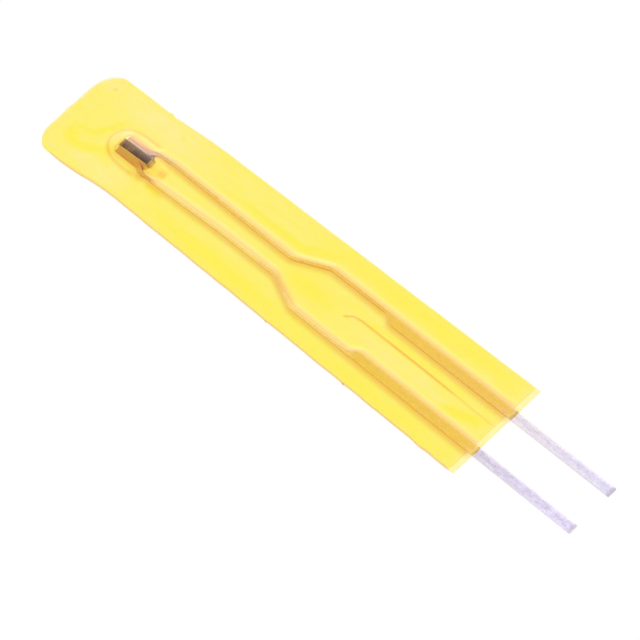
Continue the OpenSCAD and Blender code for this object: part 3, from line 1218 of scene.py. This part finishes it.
@dataclass(frozen=True)
class LeadPair:
    """The two flat leads, stamped from tinned strip: a rolled-over top edge and a cut wall."""

    strip: Strip
    finish: TinnedStrip
    roll: float = 0.006
    roll_streak: float = 0.3
    border: float = 0.08
    nip: float = 0.006
    along: float = 0.12
    fine: float = 0.04
    least: float = 0.006
    tip_marks: Pair = (0.012, 0.03)
    cut_marks: tuple[float, ...] = (-0.11, -0.09, -0.06, -0.04, -0.02, 0.0, 0.02, 0.04, 0.08, 0.12,
                                    0.18, 0.24, 0.3)

    def stations(self) -> Array:
        """Places along a lead, from its bare tip to the end of its pad.

        Returns:
            The places, in order.
        """
        s = self.strip
        places = list(np.arange(-s.bare_len, s.lead_end, self.along))
        for start, end in ((s.taper_x - 0.2, s.taper_x + 0.6), (s.jog_x - 0.25, s.jog_x + 0.25),
                           (s.throat_x - 0.25, s.throat_x + 0.25), (s.neck_x - 0.2, s.pad_x + 0.3)):
            places += list(np.arange(start, end, self.fine))
        places += [-s.bare_len + mark for mark in self.tip_marks]
        places += [s.lead_end - self.tip_marks[0], s.lead_end, *self.cut_marks]
        return thinned(places, self.least, s.lead_end)

    def ring(self, width: Array) -> tuple[Array, Array, Array, Array, Array]:
        """Cross-section of a lead, from the foot of its inner wall around to the top again.

        Args:
            width: the lead's width at each station.

        Returns:
            Stations by points of the distance across and of the height, then for each point of
            the section how streaky the tin is, 1 on rolled edges and walls, and 1 beside them.
        """
        t, r, streak = self.strip.lead_t, self.roll, self.roll_streak
        full = np.ones_like(width)
        flat = np.minimum(self.border, width / 3)
        turns = [(r * (1 - math.cos(a)), t - r * (1 - math.sin(a)))
                 for a in np.radians([0, 30, 60, 90])]
        section = [(self.nip * full, 0.0, 0.0, 1, 0), (width - self.nip, 0.0, 0.0, 1, 0),
                   (width, self.nip, 0.0, 1, 0)]
        section += [(width - back, high, streak, 1, 0) for back, high in turns]
        section += [(width - flat, t, 1.0, 0, 1), (width / 2, t, 1.0, 0, 0), (flat, t, 1.0, 0, 1)]
        section += [(back * full, high, streak, 1, 0) for back, high in turns[::-1]]
        section += [(0 * full, self.nip, 0.0, 1, 0)]
        across, height, *marks = zip(*section)
        return (np.stack(across, 1), np.stack([h * full for h in height], 1),
                *(np.array(mark) for mark in marks))

    def lead(self, side: Side) -> bpy.types.Object:
        """Builds one lead.

        Args:
            side: which of the two.

        Returns:
            The piece.
        """
        s = self.strip
        x = self.stations()
        inner, outer = side.pick((s.inner(x), s.outer(x) - s.waist(x)),
                                 (s.inner(x) + s.slim(x), s.outer(x)))
        across, height, *marks = self.ring(outer - inner)
        y = s.mid(x)[:, None] + side.value * (inner[:, None] + across)
        xx = np.broadcast_to((x + s.shift)[:, None], y.shape)
        rings = np.stack([xx, y, s.film_t + height], -1)
        leftward = side.value * (across - across.max(1, keepdims=True) / 2) > 0
        if side is Side.LEFT:
            rings, leftward = rings[:, ::-1], leftward[:, ::-1]
            marks = [mark[::-1] for mark in marks]
        points, faces = sweep(rings)
        along = np.repeat(x, rings.shape[1])
        streaky, rim, beside = (np.tile(mark, len(x)) for mark in marks)
        tone = self.finish.tones(side, along)
        wet = ease(along, *self.finish.wet_run)
        # Painted light: rims, walls and the flats beside them come out paler
        tone[:, :3] = np.minimum(
            1, tone[:, :3] * self.finish.gain(wet, rim, beside, leftward.ravel()))
        stripe = (streaky * side.pick(self.finish.streak_left, self.finish.streak_right)
                  * (1 - self.finish.wet_hides * wet))
        return make_piece(f"lead_{side.word}_tinned", f"lead_{side.word}", points,
                          faces, [self.finish.build()], {"tone": tone, "stripe": stripe},
                          sharp=50.0)

    def build(self) -> list[bpy.types.Object]:
        """Builds both leads."""
        return [self.lead(side) for side in Side]


@dataclass(frozen=True)
class Joint:
    """How one side of the chip was soldered.

    Start is how far behind the chip's near end the solder begins, and hollow the power of its
    curve. Top, tip and near are painted light: top is how much paler the solder is painted
    against the electrode, tip its painted tint at the thin near end, and near how much paler
    the electrode's near end is painted.
    """

    start: float
    hollow: float
    top: float
    tip: Three
    near: float


@dataclass(frozen=True)
class SensorChip:
    """The ceramic chip with its electrodes and the solder that joins them to the pads."""

    strip: Strip
    ceramic: SawnCeramic
    silver: SoftMetal
    solder: SoftMetal
    left: Joint = Joint(0.05, 1.3, 0.25, (1.25, 1.95, 1.8), 0.1)
    right: Joint = Joint(0.19, 1.8, -0.28, (1.4, 1.7, 1.0), 2.5)
    chamfer: float = 0.012
    uneven: float = 0.003
    seed: int = 3
    skew_deg: float = 1.7
    skew_end: float = 0.03
    end_in: float = 0.015
    end_run: float = 0.03
    coat_chamfer: float = 0.008
    coat_uneven: float = 0.002
    coat_seed: int = 5
    trim: float = 0.06
    trim_shade: Pair = (0.02, 0.1)
    # The solder: gaps to the electrode's top and the pad's edge, then how it thins at its ends
    fillet_gap: float = 0.04
    fillet_margin: float = 0.07
    swell: Pair = (0.06, 0.36)
    spread: Pair = (0.35, 0.3)
    far_thin: Pair = (0.8, 0.12)
    near_power: float = 1.8
    wave: Pair = (0.05, 9.0)
    floor_rise: Pair = (0.25, 0.3)
    tip_run: Pair = (0.12, 0.3)

    def place(self, points: Array) -> Array:
        """Moves points to the chip's place in the frame, a little turned.

        Args:
            points: points counted from the chip's near end, centre line and foot.

        Returns:
            The same points in the frame.
        """
        turned = points.copy()
        turned[:, 1] += math.radians(self.skew_deg) * (points[:, 0] - self.strip.chip_len / 2)
        return turned + self.origin()

    def origin(self) -> Array:
        """The chip's near end on its centre line, in the frame."""
        s = self.strip
        return np.array([s.chip_x + s.shift, s.film_y + s.chip_off, s.film_t])

    def block(self, low: float, high: float, chamfer: float, uneven: float,
              seed: int, start: float = 0.0) -> tuple[Array, Faces]:
        """A bar with eased edges and a slightly uneven sawn skin.

        Args:
            low: its right side, across from the chip's centre line.
            high: its left side.
            chamfer: how wide its eased edges are.
            uneven: how far its skin wanders inwards.
            seed: the seed of that wandering.
            start: how far from the chip's near end it begins.

        Returns:
            Its points in the frame and its faces.
        """
        s = self.strip
        x = np.concatenate([[start, start + chamfer],
                            np.linspace(start + 0.05, s.chip_len - 0.05, 34),
                            [s.chip_len - chamfer, s.chip_len]])
        inset = np.zeros_like(x)
        inset[0] = inset[-1] = chamfer
        c, top = chamfer, s.chip_t
        across = list(np.linspace(high - c, low + c, 7))
        y = np.array([low + c, (low + high) / 2, high - c, high, high, high, *across,
                      low, low, low])
        z = np.array([0, 0, 0, c, top / 2, top - c] + [top] * len(across) + [top - c, top / 2, c])
        wander = np.random.default_rng(seed).random((len(x), len(y)))
        pull = inset[:, None] + uneven * wander * (z > 0)
        aside, above = y - (low + high) / 2, z - top / 2
        rings = np.stack([
            np.broadcast_to(x[:, None], pull.shape),
            y - np.sign(aside) * np.minimum(pull, np.abs(aside)),
            np.where(z > 0, z - np.sign(above) * np.minimum(pull, np.abs(above)), 0.0)], -1)
        points, faces = sweep(rings[:, ::-1])
        return self.place(points), faces

    def bar(self) -> bpy.types.Object:
        """Builds the ceramic bar.

        Returns:
            The piece.
        """
        s = self.strip
        half = s.chip_w / 2
        points, faces = self.block(-half, half, self.chamfer, self.uneven, self.seed)
        along, across, up = (points - self.origin()).T
        # Painted light on the near end face, from the pale end colour
        end = self.ceramic.ends(along, up / s.chip_t, s.chip_len)
        pale = self.ceramic.patches(along, across, half)
        points[:, 0] += (self.end_in - self.skew_end * across / half) * (along < self.end_run)
        return make_piece("ceramic_chip_sawn", "thermistor_chip", points, faces,
                          [self.ceramic.build()], {"end": end, "pale": pale}, sharp=35.0)

    def electrode(self, side: Side) -> bpy.types.Object:
        """Builds the silver coat on one long side of the bar.

        Args:
            side: which long side.

        Returns:
            The piece.
        """
        s = self.strip
        half = s.chip_w / 2
        low, high = sorted((side.value * half, side.value * (half + s.electrode_t)))
        points, faces = self.block(low, high, self.coat_chamfer, self.coat_uneven,
                                   self.coat_seed + side.value, self.trim)
        along = points[:, 0] - s.chip_x - s.shift
        start, run = self.trim_shade
        # Painted light: the coat's near end is made paler
        shade = np.ones((len(points), 4))
        shade[:, :3] += side.pick(self.left, self.right).near * (
            1 - ease(along, self.trim + start, run))[:, None]
        return make_piece(f"electrode_{side.word}_silver", f"electrode_{side.word}",
                          points, faces, [self.silver.build(side)], {"shade": shade}, sharp=35.0)

    def taper(self, x: Array, start: float, least: float, run: float) -> Array:
        """How much of its full size the solder has: it grows from its start and thins at its end.

        Args:
            x: places behind the chip's near end.
            start: where the solder starts.
            least: its share of its full size there.
            run: the length over which a whole size would be gained.

        Returns:
            The share at each place, 1 at most.
        """
        far, far_run = self.far_thin
        return np.minimum(1.0, np.minimum(least + (x - start) / run,
                                          far + (self.strip.chip_len - x) / far_run))

    def fillet(self, side: Side) -> bpy.types.Object:
        """Builds the hollow solder fillet between one electrode and its pad.

        Args:
            side: which side of the chip.

        Returns:
            The piece.
        """
        s, joint = self.strip, side.pick(self.left, self.right)
        x = np.linspace(joint.start, s.chip_len, 30)
        depth, turns = self.wave
        swell = self.taper(x, joint.start, *self.swell) * (1 - depth * np.sin(x * turns) ** 2)
        wide = (s.pad_w - self.fillet_margin) * self.taper(x, joint.start, *self.spread)
        floor = ease(x, *self.floor_rise, s.lead_t)
        high = (s.chip_t - self.fillet_gap - floor) * swell ** self.near_power
        climb = np.linspace(0, 1, 7)
        # Each ring starts at the electrode's foot, then climbs from the pad's edge
        out = np.concatenate([np.zeros((len(x), 1)), wide[:, None] * (1 - climb)], 1)
        lift = np.concatenate([np.zeros((len(x), 1)), high[:, None] * climb ** joint.hollow], 1)
        rings = np.stack([np.broadcast_to(x[:, None], out.shape),
                          side.value * (s.block_half + out), floor[:, None] + lift], -1)
        # Painted light: the solder is made paler or darker towards the electrode, and its thin near
        # end takes a painted tint
        top = 1 + joint.top * climb
        shades = np.concatenate([top[-1:], top])
        if side is Side.LEFT:
            rings, shades = rings[:, ::-1], shades[::-1]
        points, faces = sweep(rings)
        thin = (1 - ease(np.repeat(x, len(shades)), *self.tip_run))[:, None]
        tint = np.ones((len(points), 4))
        tint[:, :3] = np.tile(shades, len(x))[:, None] * (1 - thin) + np.array(joint.tip) * thin
        return make_piece(f"solder_{side.word}_fillet", f"solder_{side.word}",
                          self.place(points), faces, [self.solder.build(side)], {"shade": tint},
                          sharp=40.0)

    def build(self) -> list[bpy.types.Object]:
        """Builds the chip, both electrodes and both fillets."""
        return [self.bar()] + [make(side) for side in Side for make in (self.electrode,
                                                                        self.fillet)]


@dataclass(frozen=True)
class Studio:
    """A white table under soft light, and the camera where the photograph was taken from.

    A span is where a glow starts and where it is full, as the cosine of the angle to its middle
    or as the height or depth of the direction that is looked in.
    """

    table: WhiteTable
    lens_mm: float = 207.868
    sensor_mm: float = 36.0
    clip_m: Pair = (0.005, 20.0)
    camera_mm: Three = (-84.37262, 17.74747, 78.27715)
    forward: Three = (0.7197842, -0.1489184, -0.6780369)
    roll_deg: float = -34.47953
    horizon: float = 0.56
    zenith: float = 1.3
    ceiling_span: Pair = (0.7, 0.95)
    wall_glow: float = 0.4
    wall_span: Pair = (0.4, 0.1)
    back_glow: float = 0.5
    back_span: Pair = (0.0, -0.6)
    cloth_glow: float = 0.74
    cloth_span: Pair = (0.35, 0.95)
    box_glow: float = 0.85
    box_span: Pair = (0.9, 1.0)
    box_power: float = 2.0
    box_towards: Three = (0.72, -0.62, 0.30)
    lamp_at_m: Three = (0.08, -0.1, 0.32)
    lamp_size_m: float = 0.25
    lamp_watts: float = 0.06
    table_side: float = 4.0
    table_drop_mm: float = 0.01

    def floor(self) -> bpy.types.Object:
        """Lays the table top just under the strip.

        Returns:
            The table top.
        """
        half = self.table_side / 2
        mesh = bpy.data.meshes.new("table_top")
        mesh.from_pydata([(-half, -half, 0), (half, -half, 0), (half, half, 0), (-half, half, 0)],
                         [], [(0, 1, 2, 3)])
        mesh.materials.append(self.table.build())
        top = bpy.data.objects.new("table_top", mesh)
        top.location.z = -self.table_drop_mm * MM
        bpy.context.scene.collection.objects.link(top)
        return top

    def sky(self) -> bpy.types.World:
        """Surrounds the table with even light and a soft box behind a wide cloth, far right.

        Returns:
            The world.
        """
        world = bpy.data.worlds.new("soft_box_studio")
        world.use_nodes = True
        tree = world.node_tree
        tree.nodes.clear()
        towards = add(tree, "TexCoord").outputs["Generated"]
        aim = Vector(self.box_towards).normalized()
        facing = add(tree, "VectorMath", {0: towards, 1: aim},
                     operation="DOT_PRODUCT").outputs["Value"]
        way = add(tree, "SeparateXYZ", {0: towards}).outputs
        room, *glows = [
            add(tree, "MapRange", {
                "Value": value, "From Min": start, "From Max": full, "To Min": least,
                "To Max": most}, interpolation_type="SMOOTHSTEP")
            for value, (start, full), least, most in (
                (way["Z"], self.ceiling_span, self.horizon, self.zenith),
                (way["Z"], self.wall_span, 0.0, self.wall_glow),
                (way["X"], self.back_span, 0.0, self.back_glow),
                (facing, self.cloth_span, 0.0, self.cloth_glow))]
        for glow in glows:
            room = add(tree, "Math", {0: room, 1: glow}, operation="ADD")
        near = add(tree, "MapRange", {
            "Value": facing, "From Min": self.box_span[0], "From Max": self.box_span[1]})
        box = add(tree, "Math", {0: near, 1: self.box_power}, operation="POWER")
        total = add(tree, "Math", {0: box, 1: self.box_glow, 2: room}, operation="MULTIPLY_ADD")
        light = add(tree, "Background", {"Strength": total})
        add(tree, "OutputWorld", {"Surface": light})
        bpy.context.scene.world = world
        return world

    def lamp(self) -> bpy.types.Object:
        """Hangs a soft lamp over the table.

        Returns:
            The lamp.
        """
        data = bpy.data.lights.new("overhead_panel", "AREA")
        data.shape, data.size, data.energy = "DISK", self.lamp_size_m, self.lamp_watts
        lamp = bpy.data.objects.new("overhead_panel", data)
        lamp.location = self.lamp_at_m
        lamp.rotation_euler = Vector(lamp.location).to_track_quat("Z", "Y").to_euler()
        bpy.context.scene.collection.objects.link(lamp)
        return lamp

    def camera(self) -> bpy.types.Object:
        """Sets up the camera.

        Returns:
            The camera.
        """
        data = bpy.data.cameras.new("camera")
        data.lens, data.sensor_width = self.lens_mm, self.sensor_mm
        data.clip_start, data.clip_end = self.clip_m
        camera = bpy.data.objects.new("camera", data)
        ahead = Vector(self.forward).normalized()
        level = ahead.cross(Vector((0, 0, 1))).normalized()
        above = level.cross(ahead)
        turn = math.radians(self.roll_deg)
        right = math.cos(turn) * level + math.sin(turn) * above
        up = -math.sin(turn) * level + math.cos(turn) * above
        pose = Matrix((right, up, -ahead)).transposed().to_4x4()
        pose.translation = Vector(self.camera_mm) * MM
        camera.matrix_world = pose
        bpy.context.scene.collection.objects.link(camera)
        bpy.context.scene.camera = camera
        return camera

    def build(self) -> None:
        """Builds the studio and sets the plain view transform."""
        self.floor()
        self.sky()
        self.lamp()
        self.camera()
        bpy.context.scene.view_settings.view_transform = "Standard"


def main() -> None:
    """Builds the studio and every piece, and reports each piece."""
    logging.basicConfig(level=logging.INFO, format="%(message)s")
    strip = Strip()
    Studio(WhiteTable()).build()
    # The right side's colours are painted light and shade on the same coats as the left side's
    silver = SoftMetal("silver_paste_fired", "F4D09C", "70607C", 0.03, 0.002)
    solder = SoftMetal("solder_flowed", "E6B84C", "D7AEDB", 0.09, 0.003)
    pieces = FilmPair(strip, PolyimideFilm()).build()
    pieces += LeadPair(strip, TinnedStrip()).build()
    pieces += SensorChip(strip, SawnCeramic(), silver, solder).build()
    for piece in pieces:
        log.info("%s: %d faces", piece.name, len(piece.data.polygons))


if __name__ == "__main__":
    main()
